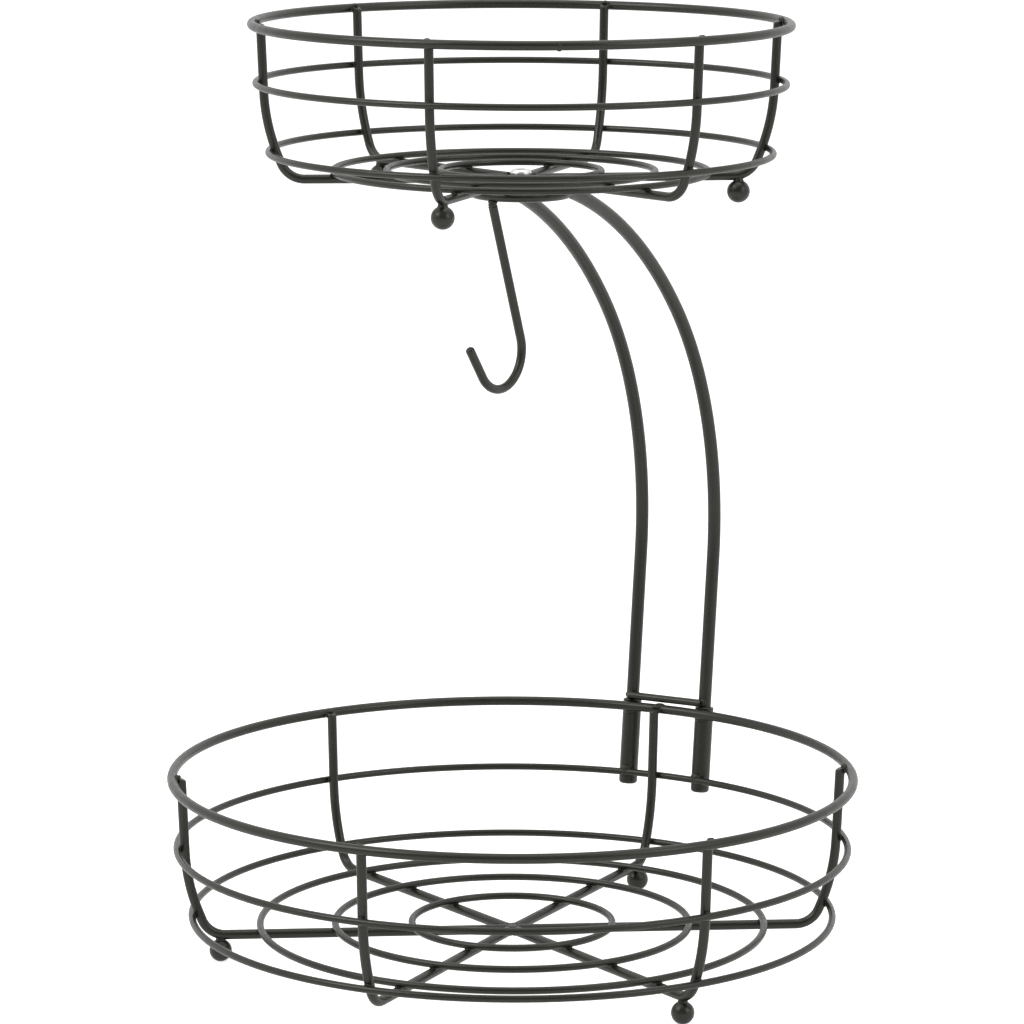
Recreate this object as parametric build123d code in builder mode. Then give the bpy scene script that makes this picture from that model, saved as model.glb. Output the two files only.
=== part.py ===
from build123d import *
import os
from math import asin, cos, radians, sin, sqrt, tan

os.makedirs("parts", exist_ok=True)

# Tiered wire basket in millimetres, +Z up. The origin is on the floor plane, on the
# lower basket's axis. The two arms and their sockets stand at +Y.

# Wires and welds
lower_heavy_wire = 4.3
lower_thin_wire = 3.15
upper_heavy_wire = 4.0
upper_thin_wire = 2.95
hook_wire = 4.0
arm_wire = 6.0
crossbar_wire = 3.5
weld_bite = 0.2
wire_end_chamfer = 0.4
wire_end_round = 1.6

# Clearances
running_gap = 0.3
head_gap = 0.1
socket_clearance = 0.2
arm_end_gap = 1.5
screw_clearance = 0.3

# Wall of both baskets, along the middle of a rib
bend_radius = 11.0
shoulder_radius = 85.0
shoulder_height = 23.6
lower_lean_angle = radians(21.8)
upper_lean_angle = radians(2.4)
rib_end_rise = 0.5
rib_end_angle = radians(22)

# Ball feet of both baskets
foot_diameter = 10.0
foot_inset = 5.3
foot_neck_base = 4.6
foot_neck_top = 3.4

# Lower basket
lower_rim_radius = 150.1
lower_rim_height = 70.6
lower_middle_height = 39.2
lower_base_height = 8.6
lower_inner_share = 0.330
lower_middle_share = 0.583
lower_outer_share = 0.830
lower_through_angle = 32.9
lower_rib_a_angle = 91.1
lower_rib_b_angle = 153.3
lower_rib_c_angle = 272.6
lower_rib_d_angle = 332.0

# Upper basket
upper_rim_radius = 116.0
upper_rim_height = 66.7
upper_middle_height = 41.4
upper_base_height = 11.5
upper_inner_share = 0.345
upper_middle_share = 0.576
upper_outer_share = 0.804
upper_rib_a_angle = 35.6
upper_rib_b_angle = 98.5
upper_rib_c_angle = 159.0
upper_rib_d_angle = 212.3
upper_rib_e_angle = 278.2
upper_rib_f_angle = 339.0

# Floor rings and ribs by letter
lower_floor_shares = {
    "inner": lower_inner_share,
    "middle": lower_middle_share,
    "outer": lower_outer_share,
}
lower_rib_angles = {
    "a": lower_rib_a_angle,
    "b": lower_rib_b_angle,
    "c": lower_rib_c_angle,
    "d": lower_rib_d_angle,
}
upper_floor_shares = {
    "inner": upper_inner_share,
    "middle": upper_middle_share,
    "outer": upper_outer_share,
}
upper_rib_angles = {
    "a": upper_rib_a_angle,
    "b": upper_rib_b_angle,
    "c": upper_rib_c_angle,
    "d": upper_rib_d_angle,
    "e": upper_rib_e_angle,
    "f": upper_rib_f_angle,
}

# Each second rib has a foot, and the lower basket's foot b is under its through rib
lower_footed_ribs = {"a": "a", "b": "through", "c": "d"}
upper_footed_ribs = {"a": "a", "b": "c", "c": "e"}

# Sockets on the lower basket's rim
socket_spread = 37.6
socket_wall = 1.1
socket_length = 40.2
socket_rise = 2.2
socket_floor = 1.2
socket_end_round = 1.6
socket_mouth_chamfer = 0.3
stand_lean_angle = radians(6.2)

# Arms
arm_straight = 72.5
arm_lower_radius = 155.5
arm_lower_angle = 48.4
arm_upper_radius = 221.0
arm_upper_angle = 32.46
arm_toe_in_angle = radians(0.91)
arm_end_chamfer = 0.6
arm_cope_bite = 0.1
arm_overrun = 5.0

# Mounting ring and its strap
mount_ring_radius = 20.5
mount_ring_drop = 0.6
strap_width = 14.0
strap_thickness = 2.0
strap_overhang = 1.0
strap_corner = 2.0

# Fruit hook
hook_drop = 3.8
hook_neck_radius = 1.5
hook_neck_root = 0.9
hook_lean_angle = radians(19.1)
hook_shank = 63.1
hook_radius = 15.75
hook_sweep_angle = 164.0
hook_tip = 16.8
hook_turn_angle = radians(8.1)

# Screw, washer, nut and hub plate in the upper basket's middle
screw_diameter = 5.0
screw_head_diameter = 9.5
screw_head_height = 2.8
screw_head_round = 1.7
recess_length = 5.2
recess_width = 1.2
recess_depth = 1.6
screw_tail = 1.2
washer_diameter = 10.0
washer_thickness = 1.0
nut_across_flats = 8.0
nut_sides = 6
nut_height = 4.0
hub_diameter = 18.0
hub_thickness = 2.0
hub_chamfer = 0.4


def foot_corner(rim_radius, rim_height, heavy_wire):
    """Radius of a rib's floor corner, so that the rim lies on the rib's outer side."""
    rib_at_rim = rim_radius - (heavy_wire - weld_bite) / cos(upper_lean_angle)
    upper_run = (rim_height - shoulder_height) * tan(upper_lean_angle)
    return rib_at_rim - upper_run - shoulder_height * tan(lower_lean_angle)


def wall_points(corner, rim_height, heavy_wire):
    """Corners of a rib's outline from the floor bend to past its top, as radius and height."""
    shoulder = corner + shoulder_height * tan(lower_lean_angle)
    top_height = rim_height + heavy_wire
    top = shoulder + (top_height - shoulder_height) * tan(upper_lean_angle)
    return [(corner, 0), (shoulder, shoulder_height), (top, top_height)]


def wall_at(corner, height):
    """Radius and lean of a rib's middle line at a height above the rib plane."""
    tangent = shoulder_radius * tan((lower_lean_angle - upper_lean_angle) / 2)
    arc_start = shoulder_height - tangent * cos(lower_lean_angle)
    arc_end = shoulder_height + tangent * cos(upper_lean_angle)
    if height <= arc_start:
        return corner + height * tan(lower_lean_angle), lower_lean_angle
    shoulder = corner + shoulder_height * tan(lower_lean_angle)
    if height >= arc_end:
        return shoulder + (height - shoulder_height) * tan(upper_lean_angle), upper_lean_angle
    centre_radius = corner + arc_start * tan(lower_lean_angle) - shoulder_radius * cos(lower_lean_angle)
    centre_height = arc_start + shoulder_radius * sin(lower_lean_angle)
    lean = asin((centre_height - height) / shoulder_radius)
    return centre_radius + shoulder_radius * cos(lean), lean


def wall_ring_radius(corner, height, heavy_wire, thin_wire):
    """Radius of a thin ring that lies on the ribs' outer sides."""
    radius, lean = wall_at(corner, height)
    return radius + (heavy_wire / 2 + thin_wire / 2 - weld_bite) / cos(lean)


def rib_plane(centre, azimuth):
    """Upright plane of a rib, with x outwards and y up."""
    angle = radians(azimuth)
    return Plane(origin=centre, x_dir=(cos(angle), sin(angle), 0), z_dir=(sin(angle), -cos(angle), 0))


def rib_end_cutter(centre, azimuth, corner, rim_height, heavy_wire):
    """Space above a rib's slanted end, which is higher on the outside."""
    end_height = rim_height + rib_end_rise
    angle = radians(azimuth)
    out = Vector(cos(angle), sin(angle), 0)
    up = Axis.Z.direction
    end = Vector(*centre) + out * wall_at(corner, end_height)[0] + up * end_height
    end_plane = Plane(origin=end, z_dir=up * cos(rib_end_angle) - out * sin(rib_end_angle))
    with BuildPart(end_plane) as cutter:
        Cylinder(heavy_wire, 2 * heavy_wire, align=(Align.CENTER, Align.CENTER, Align.MIN))
    return cutter.part


def make_ring(name, centre, radius, wire, cutters=()):
    """Closed wire ring in a level plane."""
    with BuildPart(Plane(origin=centre)) as blank:
        Torus(radius, wire / 2)
    with BuildPart() as ring:
        add(blank.part)
        for cutter in cutters:
            add(cutter, mode=Mode.SUBTRACT)
    ring.part.label = name
    export_step(ring.part, f"parts/{name}.step")
    return ring.part


def make_half_rib(name, centre, azimuth, start, corner, rim_height, heavy_wire, cutter, side=None):
    """Rib from the middle to the rim, shaped at the middle to what it is welded to."""
    end_cutter = rib_end_cutter(centre, azimuth, corner, rim_height, heavy_wire)
    with BuildPart() as rib:
        with BuildLine(rib_plane(centre, azimuth)) as path:
            FilletPolyline(
                (start, 0),
                *wall_points(corner, rim_height, heavy_wire),
                radius=[bend_radius, shoulder_radius],
            )
        with BuildSketch(path.line ^ 0):
            Circle(heavy_wire / 2)
        sweep()
        add(end_cutter, mode=Mode.SUBTRACT)
        chamfer(rib.faces().sort_by(Axis.Z)[-1].edges(), wire_end_chamfer)
        add(cutter, mode=Mode.SUBTRACT)
        if side is not None:
            split(bisect_by=side, keep=Keep.TOP)
    rib.part.label = name
    export_step(rib.part, f"parts/{name}.step")
    return rib.part


def make_foot(name, centre, azimuth, corner, heavy_wire, rib):
    """Ball foot with its weld neck, under the bend of a rib."""
    angle = radians(azimuth)
    radius = corner - foot_inset
    drop = heavy_wire / 2 + foot_diameter / 2 - weld_bite
    place = (centre[0] + radius * cos(angle), centre[1] + radius * sin(angle), centre[2] - drop)
    neck_base = sqrt(foot_diameter**2 - foot_neck_base**2) / 2
    with BuildPart(Plane(origin=place)) as ball:
        Sphere(foot_diameter / 2)
    with BuildPart() as foot:
        add(ball.part)
        with BuildSketch(Plane(origin=place).offset(neck_base)):
            Circle(foot_neck_base / 2)
        with BuildSketch(Plane(origin=place).offset(drop)):
            Circle(foot_neck_top / 2)
        loft()
        add(rib, mode=Mode.SUBTRACT)
    foot.part.label = name
    export_step(foot.part, f"parts/{name}.step")


# Lower basket: the rib plane stands on the feet
lower_rib_level = foot_diameter + lower_heavy_wire / 2 - weld_bite
lower_centre = (0, 0, lower_rib_level)
lower_corner = foot_corner(lower_rim_radius, lower_rim_height, lower_heavy_wire)
lower_floor_ring_lift = lower_heavy_wire / 2 + lower_thin_wire / 2 - weld_bite

# Sockets lean outwards and lie on the outside of the rim
socket_bore = arm_wire + 2 * socket_clearance
socket_diameter = socket_bore + 2 * socket_wall
socket_reach = lower_rim_radius + lower_heavy_wire / 2 + socket_diameter / 2 - weld_bite
socket_y = sqrt(socket_reach**2 - (socket_spread / 2) ** 2)
stand_up = Vector(0, sin(stand_lean_angle), cos(stand_lean_angle))
stand_front = Vector(0, -cos(stand_lean_angle), sin(stand_lean_angle))


def socket_point(side):
    """Point on a socket's axis at the height of the rim."""
    return Vector(side * socket_spread / 2, socket_y, lower_rib_level + lower_rim_height)


def socket_plane(side):
    """Plane across a socket at the height of the rim."""
    return Plane(origin=socket_point(side), x_dir=(1, 0, 0), z_dir=stand_up)


socket_bodies = []
for side, name in ((-1, "socket_left"), (1, "socket_right")):
    with BuildPart() as blank:
        with BuildSketch(socket_plane(side).offset(socket_rise)):
            Circle(socket_diameter / 2)
        extrude(amount=-socket_length)
        fillet(blank.edges().sort_by(Axis.Z)[0], socket_end_round)
    socket_bodies.append(blank.part)
    with BuildPart() as socket:
        add(blank.part)
        with BuildSketch(socket_plane(side).offset(socket_rise)):
            Circle(socket_bore / 2)
        extrude(amount=socket_floor - socket_length, mode=Mode.SUBTRACT)
        chamfer(socket.edges().group_by(Axis.Z)[-1].sort_by(SortBy.LENGTH)[-1], socket_mouth_chamfer)
    socket.part.label = name
    export_step(socket.part, f"parts/{name}.step")

# Rim and wall rings outside the ribs, floor rings on top of them
make_ring(
    "lower_rim",
    (0, 0, lower_rib_level + lower_rim_height),
    lower_rim_radius,
    lower_heavy_wire,
)
make_ring(
    "lower_middle_ring",
    (0, 0, lower_rib_level + lower_middle_height),
    wall_ring_radius(lower_corner, lower_middle_height, lower_heavy_wire, lower_thin_wire),
    lower_thin_wire,
    socket_bodies,
)
make_ring(
    "lower_base_ring",
    (0, 0, lower_rib_level + lower_base_height),
    wall_ring_radius(lower_corner, lower_base_height, lower_heavy_wire, lower_thin_wire),
    lower_thin_wire,
)
for place, share in lower_floor_shares.items():
    make_ring(
        f"lower_floor_ring_{place}",
        (0, 0, lower_rib_level + lower_floor_ring_lift),
        share * lower_corner,
        lower_thin_wire,
    )

# One rib crosses the floor from rim to rim
lower_wall = wall_points(lower_corner, lower_rim_height, lower_heavy_wire)
mirrored_wall = [(-radius, height) for radius, height in reversed(lower_wall)]
with BuildPart() as lower_rib_through:
    with BuildLine(rib_plane(lower_centre, lower_through_angle)) as path:
        FilletPolyline(
            *mirrored_wall,
            *lower_wall,
            radius=[shoulder_radius, bend_radius, bend_radius, shoulder_radius],
        )
    with BuildSketch(path.line ^ 0):
        Circle(lower_heavy_wire / 2)
    sweep()
    for azimuth in (lower_through_angle, lower_through_angle + 180):
        add(
            rib_end_cutter(
                lower_centre,
                azimuth,
                lower_corner,
                lower_rim_height,
                lower_heavy_wire,
            ),
            mode=Mode.SUBTRACT,
        )
    end_faces = lower_rib_through.faces().filter_by(GeomType.PLANE)
    chamfer(end_faces.edges(), wire_end_chamfer)
lower_rib_through.part.label = "lower_rib_through"
export_step(lower_rib_through.part, "parts/lower_rib_through.step")

# Four half ribs end on it, and pairs of them meet in the plane across it
lower_ribs = {"through": lower_rib_through.part}
for letter, azimuth in lower_rib_angles.items():
    forward = 1 if cos(radians(azimuth - lower_through_angle)) > 0 else -1
    side_angle = radians(lower_through_angle)
    side_direction = (forward * cos(side_angle), forward * sin(side_angle), 0)
    lower_ribs[letter] = make_half_rib(
        f"lower_rib_{letter}",
        lower_centre,
        azimuth,
        0,
        lower_corner,
        lower_rim_height,
        lower_heavy_wire,
        lower_rib_through.part,
        Plane(origin=lower_centre, z_dir=side_direction),
    )

lower_foot_angles = {**lower_rib_angles, "through": lower_through_angle + 180}
for letter, rib in lower_footed_ribs.items():
    make_foot(
        f"lower_foot_{letter}",
        lower_centre,
        lower_foot_angles[rib],
        lower_corner,
        lower_heavy_wire,
        lower_ribs[rib],
    )


# Stand: the arms rise straight out of the sockets and bend forwards in two arcs
def arm_plane(side):
    """Plane of an arm, with y along the socket and x forwards, turned to the middle."""
    forward = stand_front * cos(arm_toe_in_angle) + Vector(-side, 0, 0) * sin(arm_toe_in_angle)
    return Plane(origin=socket_point(side), x_dir=forward, z_dir=forward.cross(stand_up))


def arm_path(side):
    """Middle line of an arm from its lower end in the socket, and on past its upper end."""
    lower_end = socket_rise - socket_length + socket_floor + arm_end_gap
    with BuildLine(arm_plane(side)) as path:
        straight = Line((0, lower_end), (0, arm_straight))
        lower_arc = JernArc(straight @ 1, straight % 1, arm_lower_radius, -arm_lower_angle)
        upper_arc = JernArc(lower_arc @ 1, lower_arc % 1, arm_upper_radius, -arm_upper_angle)
        Line(upper_arc @ 1, upper_arc @ 1 + (upper_arc % 1) * arm_overrun)
    return path.line


arm_end = arm_path(1) @ 1 - (arm_path(1) % 1) * arm_overrun
mount_y = arm_end.Y - sqrt(mount_ring_radius**2 - arm_end.X**2)
mount_z = arm_end.Z - mount_ring_drop
mounting_ring = make_ring(
    "mounting_ring",
    (0, mount_y, mount_z),
    mount_ring_radius,
    hook_wire,
)

# The arms' upper ends are coped to the ring's outer side
with BuildPart(Plane(origin=(0, mount_y, mount_z))) as ring_space:
    Cylinder(mount_ring_radius + hook_wire / 2 - arm_cope_bite, 2 * arm_wire)

for side, name in ((-1, "arm_left"), (1, "arm_right")):
    line = arm_path(side)
    with BuildPart() as arm:
        with BuildSketch(line ^ 0):
            Circle(arm_wire / 2)
        sweep(path=line)
        chamfer(arm.edges().sort_by(Axis.Z)[0], arm_end_chamfer)
        add(ring_space.part, mode=Mode.SUBTRACT)
    arm.part.label = name
    export_step(arm.part, f"parts/{name}.step")

# The crossbar lies on the arms' front sides and stops just above the sockets
crossbar_forward = arm_wire / 2 + crossbar_wire / 2 - weld_bite
crossbar_up = socket_rise + running_gap + crossbar_wire / 2
crossbar_half = socket_spread / 2
crossbar_origin = socket_point(-1) + stand_front * crossbar_forward + stand_up * crossbar_up
with BuildPart() as crossbar:
    with BuildSketch(Plane(origin=crossbar_origin, z_dir=Axis.X.direction)):
        Circle(crossbar_wire / 2)
    extrude(amount=2 * crossbar_half)
    chamfer(crossbar.edges().filter_by(GeomType.CIRCLE), wire_end_chamfer)
crossbar.part.label = "crossbar"
export_step(crossbar.part, "parts/crossbar.step")

# Strap across the mounting ring's top, with the screw's hole
strap_bottom = mount_z + hook_wire / 2
strap_top = strap_bottom + strap_thickness
strap_length = 2 * (mount_ring_radius + strap_overhang)
with BuildPart() as bridge_strap:
    with BuildSketch(Plane(origin=(0, mount_y, strap_bottom))):
        RectangleRounded(strap_length, strap_width, strap_corner)
        Circle(screw_diameter / 2 + screw_clearance, mode=Mode.SUBTRACT)
    extrude(amount=strap_thickness)
bridge_strap.part.label = "bridge_strap"
export_step(bridge_strap.part, "parts/bridge_strap.step")

# Fruit hook: it hangs from the mounting ring's front and opens forwards
hook_plane = Plane(
    origin=(0, mount_y, mount_z),
    x_dir=(-sin(hook_turn_angle), -cos(hook_turn_angle), 0),
    z_dir=(-cos(hook_turn_angle), sin(hook_turn_angle), 0),
)
hook_start = (mount_ring_radius, -hook_drop)
hook_foot = (
    hook_start[0] - hook_shank * sin(hook_lean_angle),
    hook_start[1] - hook_shank * cos(hook_lean_angle),
)
# A weld neck joins its upper end to the ring
hook_neck_height = hook_drop + hook_neck_root + weld_bite - hook_wire / 2
hook_neck_plane = Plane(
    origin=hook_plane.from_local_coords((*hook_start, 0)) - (0, 0, hook_neck_root),
)
with BuildPart(hook_neck_plane) as hook_neck:
    Cylinder(
        hook_neck_radius,
        hook_neck_height,
        align=(Align.CENTER, Align.CENTER, Align.MIN),
    )
with BuildPart() as banana_hook:
    with BuildLine(hook_plane) as path:
        shank = Line(hook_start, hook_foot)
        bow = JernArc(shank @ 1, shank % 1, hook_radius, hook_sweep_angle)
        tip = Line(bow @ 1, bow @ 1 + (bow % 1) * hook_tip)
    with BuildSketch(path.line ^ 0):
        Circle(hook_wire / 2)
    sweep()
    fillet(banana_hook.edges().sort_by(Axis.Y)[0], wire_end_round)
    chamfer(banana_hook.edges().sort_by(Axis.Z)[-1], wire_end_chamfer)
    add(hook_neck)
banana_hook.part.label = "banana_hook"
export_step(banana_hook.part, "parts/banana_hook.step")

# Upper basket: its hub plate turns on the screw, just above the strap
upper_rib_level = strap_top + running_gap + upper_heavy_wire / 2
upper_centre = (0, mount_y, upper_rib_level)
upper_corner = foot_corner(upper_rim_radius, upper_rim_height, upper_heavy_wire)
upper_floor_ring_lift = upper_heavy_wire / 2 + upper_thin_wire / 2 - weld_bite
hub_bottom = strap_top + running_gap
with BuildPart() as upper_hub:
    with BuildSketch(Plane(origin=(0, mount_y, hub_bottom))):
        Circle(hub_diameter / 2)
        Circle(screw_diameter / 2 + screw_clearance, mode=Mode.SUBTRACT)
    extrude(amount=hub_thickness)
    chamfer(upper_hub.edges().group_by(Axis.Z)[-1].sort_by(SortBy.LENGTH)[-1], hub_chamfer)
upper_hub.part.label = "upper_hub"
export_step(upper_hub.part, "parts/upper_hub.step")

make_ring(
    "upper_rim",
    (0, mount_y, upper_rib_level + upper_rim_height),
    upper_rim_radius,
    upper_heavy_wire,
)
make_ring(
    "upper_middle_ring",
    (0, mount_y, upper_rib_level + upper_middle_height),
    wall_ring_radius(upper_corner, upper_middle_height, upper_heavy_wire, upper_thin_wire),
    upper_thin_wire,
)
make_ring(
    "upper_base_ring",
    (0, mount_y, upper_rib_level + upper_base_height),
    wall_ring_radius(upper_corner, upper_base_height, upper_heavy_wire, upper_thin_wire),
    upper_thin_wire,
)
for place, share in upper_floor_shares.items():
    make_ring(
        f"upper_floor_ring_{place}",
        (0, mount_y, upper_rib_level + upper_floor_ring_lift),
        share * upper_corner,
        upper_thin_wire,
    )

upper_ribs = {}
for letter, azimuth in upper_rib_angles.items():
    upper_ribs[letter] = make_half_rib(
        f"upper_rib_{letter}",
        upper_centre,
        azimuth,
        hub_diameter / 2 - weld_bite - hub_chamfer,
        upper_corner,
        upper_rim_height,
        upper_heavy_wire,
        upper_hub.part,
    )

for letter, rib in upper_footed_ribs.items():
    make_foot(
        f"upper_foot_{letter}",
        upper_centre,
        upper_rib_angles[rib],
        upper_corner,
        upper_heavy_wire,
        upper_ribs[rib],
    )

# Screw from above through washer, hub and strap into the nut
washer_bottom = hub_bottom + hub_thickness + head_gap
head_bottom = washer_bottom + washer_thickness
nut_bottom = strap_bottom - nut_height
screw_length = head_bottom - nut_bottom + screw_tail
with BuildPart() as basket_screw:
    with BuildSketch(Plane(origin=(0, mount_y, head_bottom))):
        Circle(screw_head_diameter / 2)
    extrude(amount=screw_head_height)
    fillet(basket_screw.edges().sort_by(Axis.Z)[-1], screw_head_round)
    with BuildSketch(Plane(origin=(0, mount_y, head_bottom + screw_head_height))):
        Rectangle(recess_length, recess_width)
        Rectangle(recess_width, recess_length)
    extrude(amount=-recess_depth, mode=Mode.SUBTRACT)
    with BuildSketch(Plane(origin=(0, mount_y, head_bottom))):
        Circle(screw_diameter / 2)
    extrude(amount=-screw_length)
    chamfer(basket_screw.edges().sort_by(Axis.Z)[0], wire_end_chamfer)
basket_screw.part.label = "basket_screw"
export_step(basket_screw.part, "parts/basket_screw.step")

with BuildPart() as screw_washer:
    with BuildSketch(Plane(origin=(0, mount_y, washer_bottom))):
        Circle(washer_diameter / 2)
        Circle(screw_diameter / 2, mode=Mode.SUBTRACT)
    extrude(amount=washer_thickness)
screw_washer.part.label = "screw_washer"
export_step(screw_washer.part, "parts/screw_washer.step")

with BuildPart() as screw_nut:
    with BuildSketch(Plane(origin=(0, mount_y, nut_bottom))):
        RegularPolygon(nut_across_flats / 2, side_count=nut_sides, major_radius=False)
        Circle(screw_diameter / 2, mode=Mode.SUBTRACT)
    extrude(amount=nut_height)
screw_nut.part.label = "screw_nut"
export_step(screw_nut.part, "parts/screw_nut.step")
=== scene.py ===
from math import asin, cos, radians, sin, sqrt, tan

import bpy
from mathutils import Matrix, Vector


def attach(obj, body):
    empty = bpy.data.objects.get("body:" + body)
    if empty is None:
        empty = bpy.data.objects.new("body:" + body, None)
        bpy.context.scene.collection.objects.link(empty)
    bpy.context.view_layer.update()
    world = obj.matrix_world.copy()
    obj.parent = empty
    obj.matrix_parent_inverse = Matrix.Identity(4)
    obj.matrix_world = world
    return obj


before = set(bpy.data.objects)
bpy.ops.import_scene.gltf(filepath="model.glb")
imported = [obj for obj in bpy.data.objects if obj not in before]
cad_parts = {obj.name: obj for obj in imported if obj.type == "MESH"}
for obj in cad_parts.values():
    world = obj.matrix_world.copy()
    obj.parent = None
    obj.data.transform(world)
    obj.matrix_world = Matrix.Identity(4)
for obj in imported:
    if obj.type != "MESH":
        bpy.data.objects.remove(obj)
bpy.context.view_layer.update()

MM = 0.001

# Sizes in millimetres and leans in radians, as in the solids
ARM = 6.0
HOOK_WIRE = 4.0
CROSSBAR = 3.5
BITE = 0.2
SOCKET = 8.6
SOCKET_ABOVE_RIM = 2.2
CROSSBAR_CLEARANCE = 0.3

# The baskets' walls: below the shoulder, above it, and the shoulder itself
LOWER_LEAN = radians(21.8)
UPPER_LEAN = radians(2.4)
SHOULDER_RADIUS = 85.0
SHOULDER_HEIGHT = 23.6

LOWER = {
    "centre": (0.0, 0.0, 11.95),
    "heavy": 4.3,
    "thin": 3.15,
    "rim": (150.1, 70.6),
    "rings": (39.2, 8.6),
    "floor_shares": (0.330, 0.583, 0.830),
    "ribs": (32.9, 91.1, 153.3, 212.9, 272.6, 332.0),
}
UPPER = {
    "centre": (0.0, 5.852, 346.246),
    "heavy": 4.0,
    "thin": 2.95,
    "rim": (116.0, 66.7),
    "rings": (41.4, 11.5),
    "floor_shares": (0.345, 0.576, 0.804),
    "ribs": (35.6, 98.5, 159.0, 212.3, 278.2, 339.0),
}
HALF_RIBS = (91.1, 153.3, 272.6, 332.0)
HALF_RIB_TURN = radians(60)
STAND_LEAN = radians(6.2)
SOCKET_SPREAD = 37.6
MOUNT_RING = 20.5
MOUNT_HEIGHT = 339.946
ARM_END = (16.2, 15.5)
HOOK_TURN = radians(8.1)

# Weld nuggets, in millimetres: half sizes along, across and outwards
RIB_NUGGET_SHARES = (0.56, 0.56, 0.22)
RIM_TOP_NUGGET = (1.6, 1.2, 0.9)
FLOOR_NUGGET = (1.6, 1.6, 0.62)
MIDDLE_NUGGET = (2.9, 2.3, 1.9)
SOCKET_RIM_NUGGET = (2.8, 2.9, 1.7)
SOCKET_RING_NUGGET = (2.6, 2.5, 1.7)
CROSSBAR_NUGGET = (2.3, 2.0, 0.85)
ARM_END_NUGGET = (4.2, 2.6, 1.3)
STRAP_NUGGET = (5.5, 1.6, 0.5)
HUB_RIB_NUGGET = (2.6, 1.5, 1.3)
HUB_GAP_NUGGET = (3.4, 1.2, 1.8)
# Each hook nugget's drop below the mounting ring, and its half sizes
HOOK_NUGGETS = ((0.3, (2.2, 2.0, 1.0)), (1.4, (1.9, 1.9, 2.1)))
# Each rim seam's azimuth in degrees, lift and half length
LOWER_SEAM = (90.7, 0.35, 3.8)
UPPER_SEAM = (-54.4, -0.3, 1.6)
SEAM_SHARE = 0.55

# How far the nuggets' middles lie from the wires, in millimetres
RIM_TOP_SHARE = 0.3
RIM_TOP_LIFT = 1.1
MIDDLE_GAP = 0.6
SOCKET_RIM_DROP = 1.5
SOCKET_RING_GAP = 0.2
SOCKET_RING_LIFT = 0.9
ARM_END_SINK = 0.3
ARM_END_LIFT = 0.4
STRAP_INSET = 0.6
HUB_RIB_RADIUS = 9.0
HUB_RIB_DROP = 0.4
HUB_GAP_RADIUS = 7.9
HUB_GAP_LIFT = 0.3
LUMP_HEIGHT = 0.7
LUMP_SPACING = 1.6

# The part of a noise's range that the finishes use
NOISE_LOW = 0.3
NOISE_HIGH = 0.7

# Patches, marks and depths of the finishes, in millimetres
FILM_PATCH = 30
FLOW_PATCH = 4
ZINC_PATCH = 3
MARK_SPACING = 0.25
MARK_DEPTH = 0.02
TURN = 6.283

# Studio, in metres and watts: each lamp's name, place, size and power
LAMPS = (
    ("key_lamp", (-1.1, -1.6, 1.9), (1.4, 1.4), 22),
    ("top_lamp", (0.1, 0.2, 2.2), (1.6, 1.6), 8),
    ("side_lamp", (1.9, -0.3, 1.2), (1.0, 1.4), 8),
)
LAMP_AIM = (0, 0, 0.2)
FLOOR_HALF = 6.0
FLOOR_GLOW = 0.75
FLOOR_MIRRORED = 0.35
ROOM_MIRRORED_LOW = 0.32
ROOM_DIFFUSE = 0.55
PHOTOGRAPHER_WAY = (0.47, -0.88, 0.05)

# The photograph's camera: place in metres, and focal length in the photo's pixels
CAMERA_PLACE = (0.9699, -1.8203, 0.5728)
CAMERA_TURN = radians(28.067)
CAMERA_PITCH = radians(10.2385)
CAMERA_ROLL = radians(0.186)
FOCAL_PIXELS = 4793.4
PHOTO_PIXELS = 1024
SENSOR = 36.0


# Colour and node helpers
def srgb(code):
    """A hex colour as linear RGBA."""
    parts = [int(code[i:i + 2], 16) / 255 for i in (1, 3, 5)]
    linear = [
        c / 12.92 if c <= 0.04045 else ((c + 0.055) / 1.055) ** 2.4 for c in parts
    ]
    return (*linear, 1.0)


def add_node(tree, kind, links=None, **settings):
    """Adds a node; settings are its properties or inputs, links its inputs' sources."""
    node = tree.nodes.new(kind)
    for name, value in settings.items():
        if hasattr(node, name):
            setattr(node, name, value)
        else:
            node.inputs[name.replace("_", " ")].default_value = value
    for socket, source in (links or {}).items():
        tree.links.new(source, node.inputs[socket])
    return node


def new_material(name):
    """An empty node material with its output and shader."""
    material = bpy.data.materials.new(name)
    material.use_nodes = True
    tree = material.node_tree
    tree.nodes.clear()
    output = tree.nodes.new("ShaderNodeOutputMaterial")
    shader = tree.nodes.new("ShaderNodeBsdfPrincipled")
    tree.links.new(shader.outputs["BSDF"], output.inputs["Surface"])
    return material, tree, shader


def patches(tree, place, size, detail):
    """Noise in patches of about the given size in millimetres."""
    noise = add_node(
        tree,
        "ShaderNodeTexNoise",
        {"Vector": place},
        Scale=1 / (size * MM),
        Detail=detail,
    )
    return noise.outputs["Fac"]


def set_colour(tree, shader, amount, dark_hex, light_hex, low, high):
    """Mixes the base colour from two tones by an amount between low and high."""
    tone = add_node(tree, "ShaderNodeValToRGB", {"Fac": amount})
    ends = zip(tone.color_ramp.elements, (low, high), (dark_hex, light_hex))
    for element, position, code in ends:
        element.position = position
        element.color = srgb(code)
    tree.links.new(tone.outputs["Color"], shader.inputs["Base Color"])


def set_roughness(tree, shader, amount, rough_low, rough_high):
    """Spreads the roughness between two values by a noise."""
    spread = add_node(
        tree,
        "ShaderNodeMapRange",
        {"Value": amount},
        From_Min=NOISE_LOW,
        From_Max=NOISE_HIGH,
        To_Min=rough_low,
        To_Max=rough_high,
    )
    tree.links.new(spread.outputs["Result"], shader.inputs["Roughness"])


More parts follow.
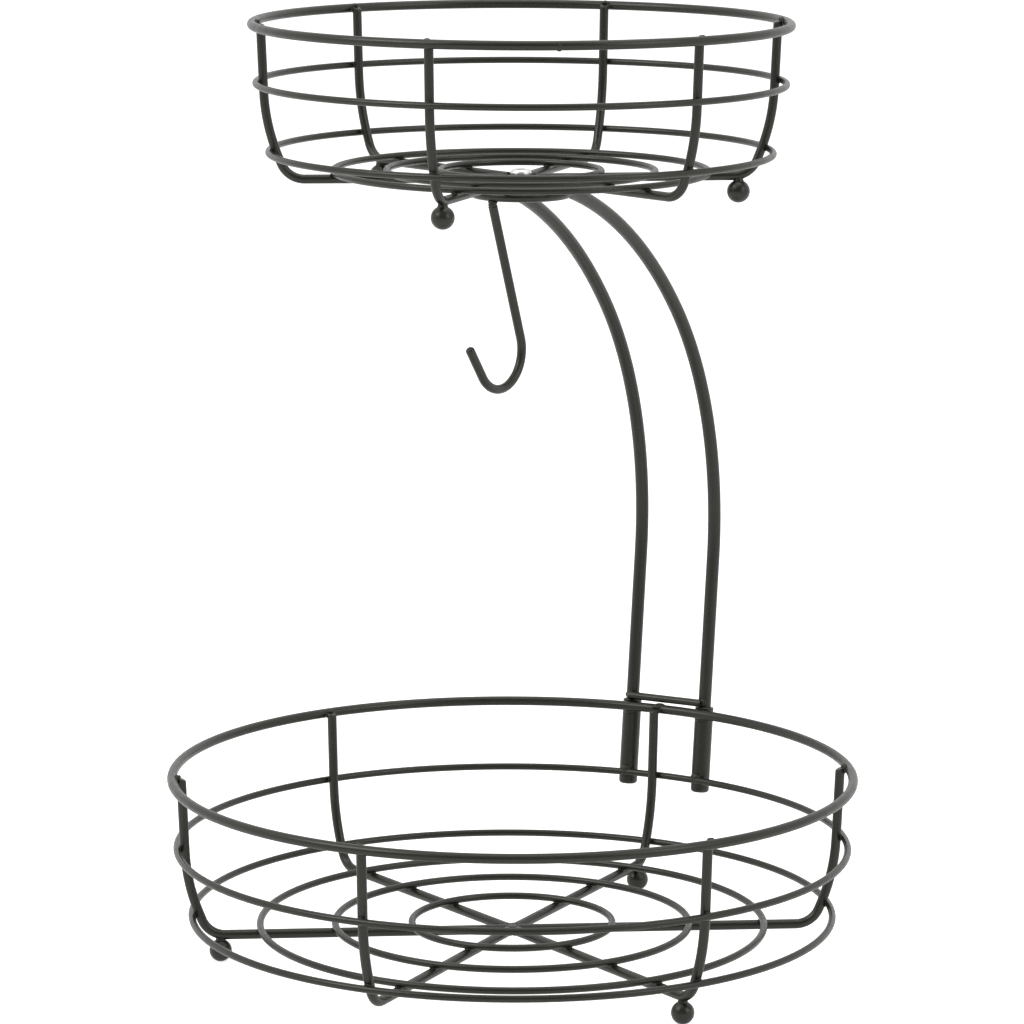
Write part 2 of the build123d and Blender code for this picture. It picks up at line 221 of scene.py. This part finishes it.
def set_bump(tree, shader, height, strength, depth):
    """Bumps of the given depth in millimetres."""
    bump = add_node(
        tree,
        "ShaderNodeBump",
        {"Height": height},
        Strength=strength,
        Distance=depth * MM,
    )
    tree.links.new(bump.outputs["Normal"], shader.inputs["Normal"])


# Finishes
def powder_coat(name, coat_hex, thick_hex, grain, grain_depth, rough_low, rough_high):
    """Satin polyester powder coat on steel wire: an even film with orange peel."""
    material, tree, shader = new_material(name)
    shader.inputs["IOR"].default_value = 1.5
    shader.inputs["Specular Tint"].default_value = (1.0, 1.0, 0.955, 1.0)
    shader.inputs["Metallic"].default_value = 0.0
    place = add_node(tree, "ShaderNodeTexCoord").outputs["Object"]
    # The film is a little thicker in some places
    film = patches(tree, place, FILM_PATCH, 3.0)
    set_colour(tree, shader, film, coat_hex, thick_hex, NOISE_LOW, NOISE_HIGH)
    # Satin, slightly uneven from the powder's flow
    flow = patches(tree, place, FLOW_PATCH, 2.0)
    set_roughness(tree, shader, flow, rough_low, rough_high)
    # Orange peel
    peel = patches(tree, place, grain, 2.0)
    set_bump(tree, shader, peel, 0.5, grain_depth)
    return material


def bright_zinc(name):
    """Bright zinc plated steel, clear passivated: pale, with fine turning marks."""
    material, tree, shader = new_material(name)
    shader.inputs["Metallic"].default_value = 1.0
    place = add_node(tree, "ShaderNodeTexCoord").outputs["Object"]
    cloud = patches(tree, place, ZINC_PATCH, 3.0)
    set_colour(tree, shader, cloud, "#dfe0e1", "#f0f0ee", NOISE_LOW, NOISE_HIGH)
    set_roughness(tree, shader, cloud, 0.26, 0.38)
    # Turning marks round the screw's axis
    centred = add_node(
        tree,
        "ShaderNodeMapping",
        {"Vector": place},
        Location=(0.0, -UPPER["centre"][1] * MM, 0.0),
    )
    marks = add_node(
        tree,
        "ShaderNodeTexWave",
        {"Vector": centred.outputs["Vector"]},
        wave_type="RINGS",
        rings_direction="Z",
        Scale=1 / (MARK_SPACING * MM) / TURN,
        Distortion=1.0,
    )
    set_bump(tree, shader, marks.outputs["Fac"], 0.25, MARK_DEPTH)
    return material


satin_black = powder_coat(
    "powder_coat_satin_black", "#171810", "#1e1f16", 0.9, 0.02, 0.27, 0.36
)
weld_black = powder_coat(
    "powder_coat_over_weld", "#181911", "#212219", 0.5, 0.08, 0.36, 0.50
)
plated = bright_zinc("bright_zinc_plated_steel")

PLATED_NODES = ("basket_screw", "screw_washer", "screw_nut")
for node_name, node_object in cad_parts.items():
    finish = plated if node_name in PLATED_NODES else satin_black
    node_object.data.materials.clear()
    node_object.data.materials.append(finish)


# Where the welds are
def upward(height):
    """A vector straight up."""
    return Vector((0, 0, height))


def wall_at(corner, height):
    """Radius and lean of a rib's middle line at a height above the rib plane."""
    tangent = SHOULDER_RADIUS * tan((LOWER_LEAN - UPPER_LEAN) / 2)
    arc_start = SHOULDER_HEIGHT - tangent * cos(LOWER_LEAN)
    arc_end = SHOULDER_HEIGHT + tangent * cos(UPPER_LEAN)
    if height <= arc_start:
        return corner + height * tan(LOWER_LEAN), LOWER_LEAN
    if height >= arc_end:
        shoulder = corner + SHOULDER_HEIGHT * tan(LOWER_LEAN)
        return shoulder + (height - SHOULDER_HEIGHT) * tan(UPPER_LEAN), UPPER_LEAN
    middle = corner + arc_start * tan(LOWER_LEAN) - SHOULDER_RADIUS * cos(LOWER_LEAN)
    rise = arc_start + SHOULDER_RADIUS * sin(LOWER_LEAN) - height
    lean = asin(rise / SHOULDER_RADIUS)
    return middle + SHOULDER_RADIUS * cos(lean), lean


def foot_corner(basket):
    """Radius of a rib's floor corner."""
    rim_radius, rim_height = basket["rim"]
    rib_at_rim = rim_radius - (basket["heavy"] - BITE) / cos(UPPER_LEAN)
    return (
        rib_at_rim
        - (rim_height - SHOULDER_HEIGHT) * tan(UPPER_LEAN)
        - SHOULDER_HEIGHT * tan(LOWER_LEAN)
    )


def directions(azimuth):
    """Level directions outwards and round at an azimuth in degrees."""
    angle = radians(azimuth)
    return Vector((cos(angle), sin(angle), 0)), Vector((-sin(angle), cos(angle), 0))


def basket_welds(basket):
    """Weld nuggets of a basket: place, facing, direction along and half sizes."""
    welds = []
    centre = Vector(basket["centre"])
    heavy, thin = basket["heavy"], basket["thin"]
    corner = foot_corner(basket)
    rim_height = basket["rim"][1]
    wall_rings = [(rim_height, heavy)] + [(height, thin) for height in basket["rings"]]
    for azimuth in basket["ribs"]:
        out, round_way = directions(azimuth)
        for height, wire in wall_rings:
            radius, lean = wall_at(corner, height)
            away = (heavy / 2 + wire / 2 - BITE) / cos(lean)
            facing = out * cos(lean) - upward(sin(lean))
            place = centre + out * (radius + away) + upward(height) - facing * wire / 2
            half = tuple(wire * share for share in RIB_NUGGET_SHARES)
            welds.append((place, facing, round_way, half))
        radius, _ = wall_at(corner, rim_height)
        place = (
            centre
            + out * (radius + RIM_TOP_SHARE * heavy)
            + upward(rim_height + RIM_TOP_LIFT)
        )
        welds.append((place, out + upward(1), round_way, RIM_TOP_NUGGET))
        for share in basket["floor_shares"]:
            place = centre + out * share * corner + upward(heavy / 2 - BITE / 2)
            welds.append((place, upward(1), round_way, FLOOR_NUGGET))
    return welds


def butt_weld(basket, azimuth, lift, half_length):
    """The rim's closing weld, a low collar round the wire, proud on top or below."""
    out, round_way = directions(azimuth)
    radius, height = basket["rim"]
    place = Vector(basket["centre"]) + out * radius + upward(height + lift)
    half = basket["heavy"] * SEAM_SHARE
    return (place, upward(1), round_way, (half_length, half, half))


def socket_axis(side):
    """Where a socket's axis passes the height of the rim."""
    rim_radius, rim_height = LOWER["rim"]
    reach = rim_radius + LOWER["heavy"] / 2 + SOCKET / 2 - BITE
    socket_y = sqrt(reach**2 - (SOCKET_SPREAD / 2) ** 2)
    return Vector((side * SOCKET_SPREAD / 2, socket_y, LOWER["centre"][2] + rim_height))


def outwards_at(place):
    """Level directions outwards and round at a place on the lower basket."""
    facing = Vector((place.x, place.y, 0)).normalized()
    return facing, Vector((-facing.y, facing.x, 0))


def lower_basket_welds():
    """Nuggets of the lower basket, its middle joint, its sockets and its rim seam."""
    welds = basket_welds(LOWER)
    centre = Vector(LOWER["centre"])
    for azimuth in HALF_RIBS:
        out, round_way = directions(azimuth)
        place = centre + out * (LOWER["heavy"] / 2 / sin(HALF_RIB_TURN) + MIDDLE_GAP)
        welds.append((place, out, round_way, MIDDLE_NUGGET))
    ring_fall = LOWER["rim"][1] - LOWER["rings"][0]
    for side in (-1, 1):
        on_axis = socket_axis(side)
        facing, round_way = outwards_at(on_axis)
        place = on_axis - facing * SOCKET / 2 - upward(SOCKET_RIM_DROP)
        welds.append((place, facing, round_way, SOCKET_RIM_NUGGET))
        low = on_axis - Vector((0, ring_fall * tan(STAND_LEAN), ring_fall))
        facing, round_way = outwards_at(low)
        reach = SOCKET / 2 + SOCKET_RING_GAP
        place = low - facing * reach + upward(SOCKET_RING_LIFT)
        welds.append((place, facing, round_way, SOCKET_RING_NUGGET))
    welds.append(butt_weld(LOWER, *LOWER_SEAM))
    return welds


def stand_welds():
    """Nuggets of the crossbar, the arms' upper ends, the strap and the hook."""
    welds = []
    up = Vector((0, sin(STAND_LEAN), cos(STAND_LEAN)))
    front = Vector((0, -cos(STAND_LEAN), sin(STAND_LEAN)))
    bar_lift = SOCKET_ABOVE_RIM + CROSSBAR_CLEARANCE + CROSSBAR / 2
    for side in (-1, 1):
        place = socket_axis(side) + front * (ARM / 2 - BITE / 2) + up * bar_lift
        welds.append((place, front, Vector((1, 0, 0)), CROSSBAR_NUGGET))
    middle = Vector((0, UPPER["centre"][1], MOUNT_HEIGHT))
    for side in (-1, 1):
        out = Vector((side * ARM_END[0], ARM_END[1], 0)).normalized()
        round_way = Vector((-out.y, out.x, 0))
        reach = MOUNT_RING + HOOK_WIRE / 2 - ARM_END_SINK
        place = middle + out * reach + upward(ARM_END_LIFT)
        welds.append((place, out, round_way, ARM_END_NUGGET))
        across = Vector((side * (MOUNT_RING - STRAP_INSET), 0, HOOK_WIRE / 2))
        welds.append((middle + across, upward(-1), Vector((0, 1, 0)), STRAP_NUGGET))
    hook_out = Vector((-sin(HOOK_TURN), -cos(HOOK_TURN), 0))
    round_way = Vector((cos(HOOK_TURN), -sin(HOOK_TURN), 0))
    for drop, half in HOOK_NUGGETS:
        place = middle + hook_out * MOUNT_RING - upward(HOOK_WIRE / 2 + drop)
        welds.append((place, upward(1), round_way, half))
    return welds


def upper_basket_welds():
    """Nuggets of the upper basket, the beads round its hub and its rim seam."""
    welds = basket_welds(UPPER)
    centre = Vector(UPPER["centre"])
    ribs = UPPER["ribs"]
    for azimuth, after in zip(ribs, ribs[1:] + (ribs[0] + 360,)):
        out, round_way = directions(azimuth)
        place = centre + out * HUB_RIB_RADIUS - upward(HUB_RIB_DROP)
        welds.append((place, out, round_way, HUB_RIB_NUGGET))
        out, round_way = directions((azimuth + after) / 2)
        place = centre + out * HUB_GAP_RADIUS + upward(HUB_GAP_LIFT)
        welds.append((place, upward(1), round_way, HUB_GAP_NUGGET))
    welds.append(butt_weld(UPPER, *UPPER_SEAM))
    return welds


# Weld nuggets as one tree
def named_vector(tree, title):
    """A vector stored at each point under a name."""
    node = add_node(
        tree, "GeometryNodeInputNamedAttribute", data_type="FLOAT_VECTOR", Name=title
    )
    return node.outputs["Attribute"]


def weld_tree():
    """Puts a small, slightly lumpy nugget of the given half sizes at each point."""
    tree = bpy.data.node_groups.new("weld_nuggets", "GeometryNodeTree")
    face = tree.interface
    face.new_socket("Geometry", in_out="INPUT", socket_type="NodeSocketGeometry")
    lump = face.new_socket("Lump Height", in_out="INPUT", socket_type="NodeSocketFloat")
    grain = face.new_socket(
        "Lump Spacing", in_out="INPUT", socket_type="NodeSocketFloat"
    )
    coat = face.new_socket("Coat", in_out="INPUT", socket_type="NodeSocketMaterial")
    face.new_socket("Geometry", in_out="OUTPUT", socket_type="NodeSocketGeometry")
    given = add_node(tree, "NodeGroupInput").outputs
    stand_on = add_node(
        tree,
        "FunctionNodeAlignRotationToVector",
        {"Vector": named_vector(tree, "facing")},
        axis="Z",
    )
    turned = add_node(
        tree,
        "FunctionNodeAlignRotationToVector",
        {
            "Rotation": stand_on.outputs["Rotation"],
            "Vector": named_vector(tree, "along"),
        },
        axis="X",
        pivot_axis="Z",
    )
    nugget = add_node(tree, "GeometryNodeMeshIcoSphere", Radius=1.0, Subdivisions=3)
    placed = add_node(
        tree,
        "GeometryNodeInstanceOnPoints",
        {
            "Points": given["Geometry"],
            "Instance": nugget.outputs["Mesh"],
            "Rotation": turned.outputs["Rotation"],
            "Scale": named_vector(tree, "half"),
        },
    )
    solid = add_node(
        tree, "GeometryNodeRealizeInstances", {"Geometry": placed.outputs["Instances"]}
    )
    spot = add_node(tree, "GeometryNodeInputPosition")
    fine = add_node(
        tree, "ShaderNodeMath", {1: given["Lump Spacing"]}, operation="DIVIDE"
    )
    fine.inputs[0].default_value = 1.0
    noise = add_node(
        tree,
        "ShaderNodeTexNoise",
        {"Vector": spot.outputs["Position"], "Scale": fine.outputs["Value"]},
        Detail=1.0,
    )
    centred = add_node(
        tree, "ShaderNodeMath", {0: noise.outputs["Fac"]}, operation="SUBTRACT"
    )
    centred.inputs[1].default_value = 0.5
    height = add_node(
        tree,
        "ShaderNodeMath",
        {0: centred.outputs["Value"], 1: given["Lump Height"]},
        operation="MULTIPLY",
    )
    normal = add_node(tree, "GeometryNodeInputNormal")
    offset = add_node(
        tree,
        "ShaderNodeVectorMath",
        {0: normal.outputs["Normal"], "Scale": height.outputs["Value"]},
        operation="SCALE",
    )
    lumpy = add_node(
        tree,
        "GeometryNodeSetPosition",
        {"Geometry": solid.outputs["Geometry"], "Offset": offset.outputs["Vector"]},
    )
    smooth = add_node(
        tree, "GeometryNodeSetShadeSmooth", {"Geometry": lumpy.outputs["Geometry"]}
    )
    coated = add_node(
        tree,
        "GeometryNodeSetMaterial",
        {"Geometry": smooth.outputs["Geometry"], "Material": given["Coat"]},
    )
    add_node(tree, "NodeGroupOutput", {"Geometry": coated.outputs["Geometry"]})
    return tree, {
        "height": lump.identifier,
        "spacing": grain.identifier,
        "coat": coat.identifier,
    }


def make_welds(name, welds, tree, sockets, body):
    """One plain mesh of all the weld nuggets on a body."""
    points = bpy.data.meshes.new(name + "_points")
    points.from_pydata([tuple(place * MM) for place, *_ in welds], [], [])
    for title, index in (("facing", 1), ("along", 2), ("half", 3)):
        values = points.attributes.new(title, "FLOAT_VECTOR", "POINT")
        for item, weld in zip(values.data, welds):
            scale = MM if title == "half" else 1.0
            item.vector = Vector(weld[index]) * scale
    source = bpy.data.objects.new(name + "_source", points)
    bpy.context.scene.collection.objects.link(source)
    modifier = source.modifiers.new("nuggets", "NODES")
    modifier.node_group = tree
    modifier[sockets["height"]] = LUMP_HEIGHT * MM
    modifier[sockets["spacing"]] = LUMP_SPACING * MM
    modifier[sockets["coat"]] = weld_black
    bpy.context.view_layer.update()
    graph = bpy.context.evaluated_depsgraph_get()
    mesh = bpy.data.meshes.new_from_object(source.evaluated_get(graph))
    source.modifiers.remove(modifier)
    bpy.data.objects.remove(source)
    piece = bpy.data.objects.new(name, mesh)
    mesh.name = name
    bpy.context.scene.collection.objects.link(piece)
    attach(piece, body)


nugget_tree, nugget_sockets = weld_tree()
for weld_name, body_welds, weld_body in (
    ("welds_lower_basket", lower_basket_welds(), "lower_basket"),
    ("welds_stand", stand_welds(), "stand"),
    ("welds_upper_basket", upper_basket_welds(), "upper_basket"),
):
    make_welds(weld_name, body_welds, nugget_tree, nugget_sockets, weld_body)


# Floor, light and camera
def white_floor():
    """A pale matt floor that the camera sees as white, with the feet's soft shadow."""
    material, tree, shader = new_material("matt_white_floor")
    shader.inputs["Roughness"].default_value = 0.9
    shader.inputs["Specular IOR Level"].default_value = 0.1
    place = add_node(tree, "ShaderNodeTexCoord").outputs["Object"]
    grain = add_node(
        tree, "ShaderNodeTexNoise", {"Vector": place}, Scale=3.0, Detail=2.0
    )
    set_colour(tree, shader, grain.outputs["Fac"], "#ececea", "#f0f0ee", 0.0, 1.0)
    rays = add_node(tree, "ShaderNodeLightPath")
    mirrored = add_node(
        tree, "ShaderNodeMath", {0: rays.outputs["Is Glossy Ray"]}, operation="MULTIPLY"
    )
    mirrored.inputs[1].default_value = FLOOR_MIRRORED
    glow = add_node(
        tree,
        "ShaderNodeMapRange",
        {"Value": rays.outputs["Is Camera Ray"], "To Min": mirrored.outputs["Value"]},
        To_Max=FLOOR_GLOW,
    )
    shader.inputs["Emission Color"].default_value = (1.0, 1.0, 1.0, 1.0)
    tree.links.new(glow.outputs["Result"], shader.inputs["Emission Strength"])
    mesh = bpy.data.meshes.new("studio_floor")
    half = FLOOR_HALF
    mesh.from_pydata(
        [(-half, -half, 0), (half, -half, 0), (half, half, 0), (-half, half, 0)],
        [],
        [(0, 1, 2, 3)],
    )
    mesh.materials.append(material)
    floor = bpy.data.objects.new("studio_floor", mesh)
    bpy.context.scene.collection.objects.link(floor)


def white_world():
    """A pale room, darker to the photographer in reflections; the camera sees white."""
    world = bpy.data.worlds.new("pale_room")
    world.use_nodes = True
    tree = world.node_tree
    tree.nodes.clear()
    rays = add_node(tree, "ShaderNodeLightPath")
    way = add_node(tree, "ShaderNodeTexCoord").outputs["Generated"]
    facing = add_node(tree, "ShaderNodeVectorMath", {0: way}, operation="DOT_PRODUCT")
    facing.inputs[1].default_value = PHOTOGRAPHER_WAY
    dim = add_node(
        tree,
        "ShaderNodeMapRange",
        {"Value": facing.outputs["Value"]},
        From_Min=0.1,
        From_Max=0.9,
        To_Min=1.0,
        To_Max=ROOM_MIRRORED_LOW,
    )
    mirrored = add_node(
        tree,
        "ShaderNodeMapRange",
        {"Value": rays.outputs["Is Glossy Ray"], "To Max": dim.outputs["Result"]},
        To_Min=ROOM_DIFFUSE,
    )
    level = add_node(
        tree,
        "ShaderNodeMapRange",
        {"Value": rays.outputs["Is Camera Ray"], "To Min": mirrored.outputs["Result"]},
        To_Max=1.0,
    )
    room = add_node(tree, "ShaderNodeBackground", {"Strength": level.outputs["Result"]})
    room.inputs["Color"].default_value = (1.0, 1.0, 1.0, 1.0)
    add_node(tree, "ShaderNodeOutputWorld", {"Surface": room.outputs["Background"]})
    bpy.context.scene.world = world


def soft_box(name, place, size, watts):
    """A rectangular studio lamp that points at the part."""
    lamp = bpy.data.lights.new(name, "AREA")
    lamp.shape = "RECTANGLE"
    lamp.size, lamp.size_y = size
    lamp.energy = watts
    holder = bpy.data.objects.new(name, lamp)
    holder.location = place
    way = Vector(LAMP_AIM) - Vector(place)
    holder.rotation_euler = way.to_track_quat("-Z", "Y").to_euler()
    bpy.context.scene.collection.objects.link(holder)


def photo_camera():
    """The photograph's view, solved from the baskets' rings."""
    turn, pitch, roll = CAMERA_TURN, CAMERA_PITCH, CAMERA_ROLL
    ahead = Vector((-sin(turn) * cos(pitch), cos(turn) * cos(pitch), -sin(pitch)))
    right = Vector((cos(turn), sin(turn), 0))
    up = right.cross(ahead)
    rolled_right = right * cos(roll) + up * sin(roll)
    rolled_up = up * cos(roll) - right * sin(roll)
    turned = Matrix((rolled_right, rolled_up, -ahead)).transposed()
    lens = bpy.data.cameras.new("photo_camera")
    lens.sensor_width = SENSOR
    lens.lens = SENSOR * FOCAL_PIXELS / PHOTO_PIXELS
    lens.clip_start = 0.05
    lens.clip_end = 50.0
    camera = bpy.data.objects.new("photo_camera", lens)
    camera.matrix_world = Matrix.Translation(CAMERA_PLACE) @ turned.to_4x4()
    bpy.context.scene.collection.objects.link(camera)
    bpy.context.scene.camera = camera


white_floor()
white_world()
for lamp_name, lamp_place, lamp_size, lamp_watts in LAMPS:
    soft_box(lamp_name, lamp_place, lamp_size, lamp_watts)
photo_camera()
bpy.context.scene.view_settings.view_transform = "Standard"
